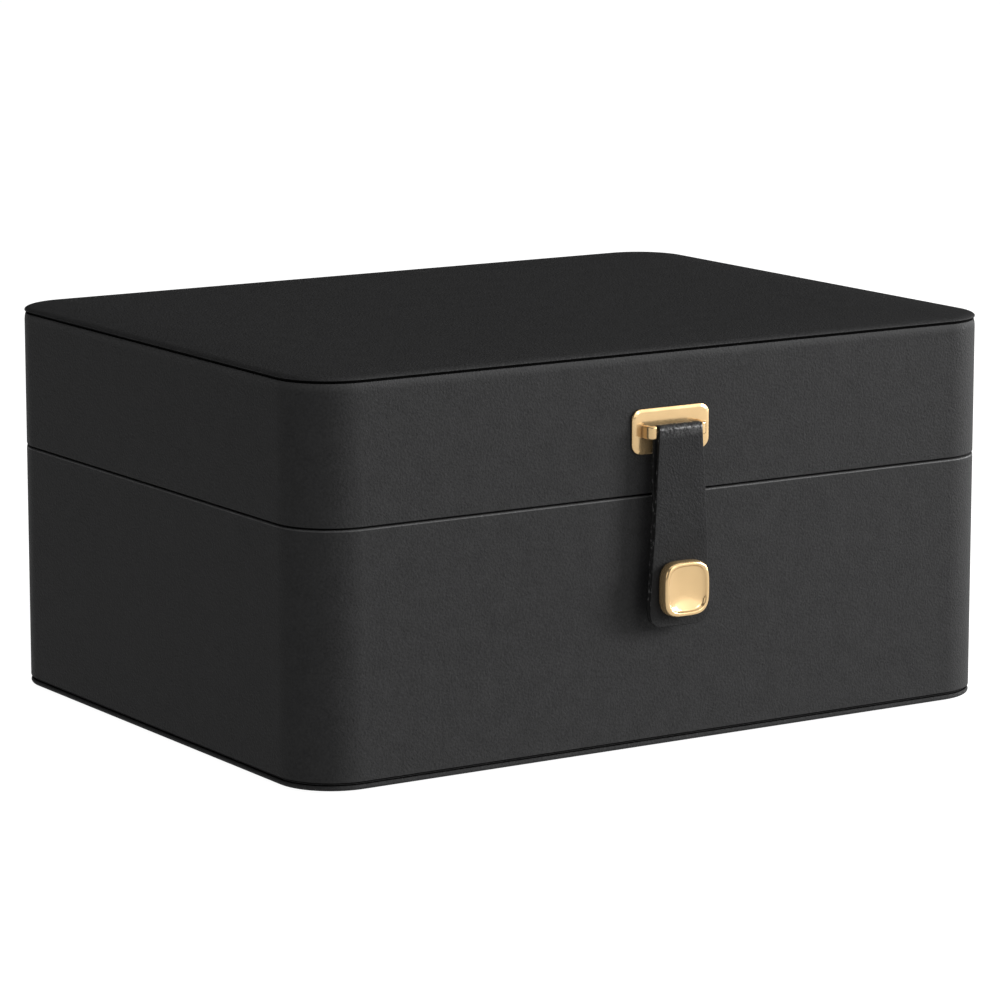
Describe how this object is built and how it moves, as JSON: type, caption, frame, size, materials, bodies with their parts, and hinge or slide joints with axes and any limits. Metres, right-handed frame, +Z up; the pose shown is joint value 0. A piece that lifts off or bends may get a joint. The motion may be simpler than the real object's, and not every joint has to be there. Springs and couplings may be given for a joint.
{
  "type": "jewelry gift box",
  "caption": "Leather-wrapped jewelry box with a hinged lid, a looped front strap with a magnetic button catch, a mirror and a lift-out tray of ring rolls.",
  "frame": {"origin": "centre of the box's footprint, on the underside of the felt that it stands on; the strap in front and the hinges behind stand out from the footprint, so the origin is not the middle of the overall depth", "axes": "+X along the width, to the viewer's right when the strap side is faced; -Y forwards, to the strap side; +Z up"},
  "size_m": [0.23, 0.1907, 0.1124],
  "materials": {
    "leather_black": "satin, very fine grain",
    "frame_wood": "raw fibreboard",
    "velvet_grey": "short-pile velvet",
    "gold_polished": "polished, pale warm gold",
    "steel_plated": "nickel-plated",
    "mirror_glass": "mirror",
    "felt_black": "felt",
    "foam": "thin foam sheet",
    "grey_card": "grey card"
  },
  "bodies": {
    "base": {"bottom_felt": "felt_black", "bottom_board": "grey_card", "bottom_leather": "leather_black", "base_frame": "frame_wood", "base_leather": "leather_black", "base_floor_board": "frame_wood", "base_floor_velvet": "velvet_grey", "base_wall_velvet": "velvet_grey", "tray_ledge": "velvet_grey", "lower_long_divider": "velvet_grey", "lower_left_divider": "velvet_grey", "lower_right_divider": "velvet_grey", "base_catch_cup": "steel_plated", "base_catch_magnet": "steel_plated", "base_catch_washer": "steel_plated", "left_hinge_base_leaf": "gold_polished", "left_hinge_pin": "steel_plated", "right_hinge_base_leaf": "gold_polished", "right_hinge_pin": "steel_plated", "base_hinge_screws": "gold_polished"},
    "lid": {"left_hinge_lid_leaf": "gold_polished", "right_hinge_lid_leaf": "gold_polished", "lid_frame": "frame_wood", "lid_leather": "leather_black", "lid_top_board": "frame_wood", "lid_top_foam": "foam", "lid_top_leather": "leather_black", "lid_ceiling_velvet": "velvet_grey", "lid_wall_velvet": "velvet_grey", "mirror_backing": "grey_card", "mirror_glass": "mirror_glass", "mirror_frame": "leather_black", "clasp_plate": "gold_polished", "clasp_bar": "gold_polished", "clasp_backing_plate": "steel_plated", "clasp_screws": "steel_plated", "lid_hinge_screws": "gold_polished"},
    "strap": {"strap_leather": "leather_black", "button_cap": "gold_polished", "button_post": "gold_polished", "strap_catch_cup": "steel_plated", "strap_catch_magnet": "steel_plated"},
    "tray": {"tray_shell": "velvet_grey", "tray_floor_velvet": "velvet_grey", "tray_long_divider": "velvet_grey", "tray_left_divider": "velvet_grey", "tray_right_divider": "velvet_grey", "ring_roll_1": "velvet_grey", "ring_roll_2": "velvet_grey", "ring_roll_3": "velvet_grey", "ring_roll_4": "velvet_grey", "ring_roll_5": "velvet_grey", "ring_roll_6": "velvet_grey", "left_pull_tab": "leather_black", "right_pull_tab": "leather_black"}
  },
  "joints": [
    {"name": "lid_hinge", "type": "hinge", "parent": "base", "child": "lid", "pos_m": [0, 0.0897, 0.0716], "axis": [-1, 0, 0], "range_deg": [0, 100]},
    {"name": "strap_pivot", "type": "hinge", "parent": "lid", "child": "strap", "pos_m": [0, -0.0917, 0.0899], "axis": [-1, 0, 0], "range_deg": [0, 150]},
    {"name": "tray_lift", "type": "slide", "parent": "base", "child": "tray", "axis": [0, 0, 1], "range_m": [0, 0.028]}
  ]
}
